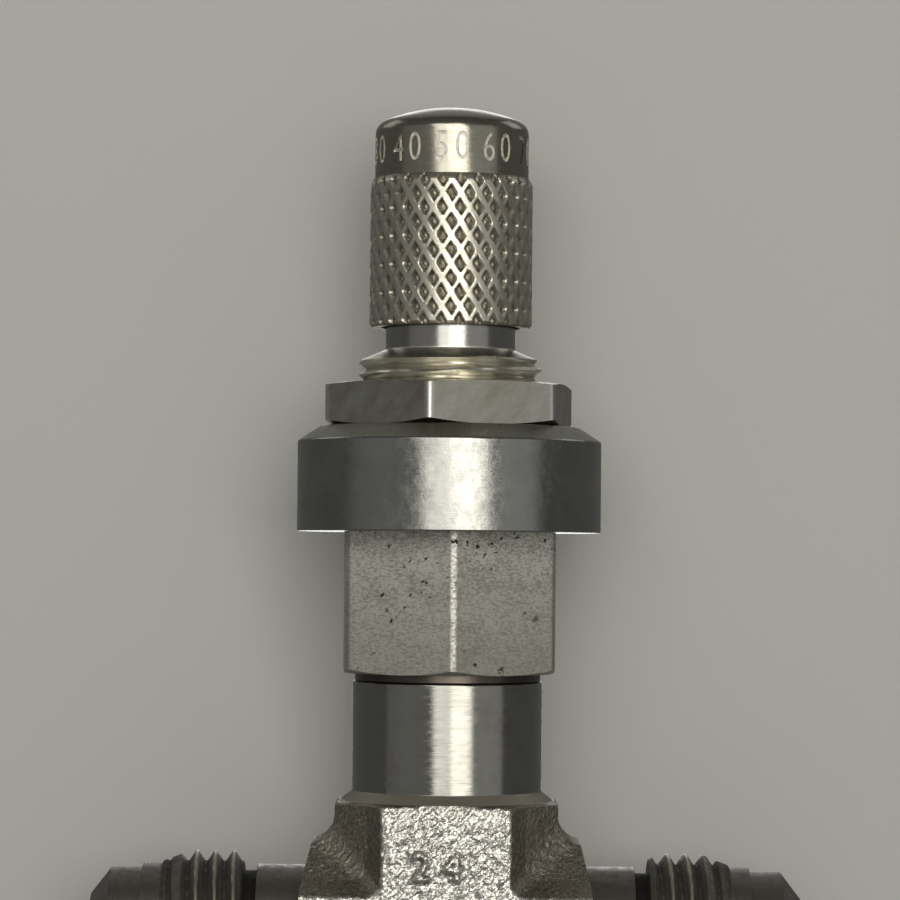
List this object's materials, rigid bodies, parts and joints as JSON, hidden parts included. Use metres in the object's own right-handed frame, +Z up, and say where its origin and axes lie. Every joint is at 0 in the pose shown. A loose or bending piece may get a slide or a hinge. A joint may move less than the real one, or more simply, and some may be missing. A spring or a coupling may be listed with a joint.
{
  "type": "metering valve",
  "caption": "Fine metering valve for panel mounting: knurled knob, hex nut and round collar over a turned barrel and a forged cross body with male-threaded ports.",
  "frame": {"origin": "middle of the flat foot under the forged body", "axes": "+Z up the stem axis towards the knob, +X along the port axis towards the outlet, -Y is the front"},
  "size_m": [0.0488, 0.021, 0.0645],
  "materials": {
    "forged_steel": "forged and blasted, turned barrel",
    "bonnet_steel": "blasted hex, turned thread and neck",
    "collar_steel": "turned and polished, finely scratched",
    "nut_steel": "satin",
    "handle_steel": "diamond knurl, satin band",
    "screw_steel": "black oxide",
    "inner_steel": "fine turned",
    "bronze": "turned",
    "seat_polymer": "moulded",
    "gasket_polymer": "skived",
    "black_rubber": "moulded"
  },
  "bodies": {
    "valve": {"valve_body": "forged_steel", "seat_insert": "seat_polymer", "body_gasket": "gasket_polymer", "bellows_flange": "inner_steel", "bellows": "inner_steel", "guide_bush": "bronze", "bonnet": "bonnet_steel", "drive_bush": "bronze", "backup_ring": "gasket_polymer", "stem_o_ring": "black_rubber", "gland_ring": "inner_steel", "panel_collar": "collar_steel", "panel_nut": "nut_steel"},
    "needle_rod": {"needle": "inner_steel", "stem": "inner_steel", "bellows_cap": "inner_steel"},
    "knob": {"handle": "handle_steel", "handle_set_screw": "screw_steel", "actuator_screw": "inner_steel", "thrust_ball": "inner_steel", "swivel_clip": "inner_steel"}
  },
  "joints": [
    {"name": "needle_lift", "type": "slide", "parent": "valve", "child": "needle_rod", "axis": [0, 0, 1], "range_m": [0, 0.00349], "deforming": ["bellows"]},
    {"name": "handle_turn", "type": "hinge", "parent": "needle_rod", "child": "knob", "pos_m": [0, 0, 0.055], "axis": [0, 0, 1], "range_deg": [0, 1980]}
  ],
  "couplings": [
    {"joint": "needle_lift", "follows": "handle_turn", "m_per_rad": 0.00010106}
  ]
}
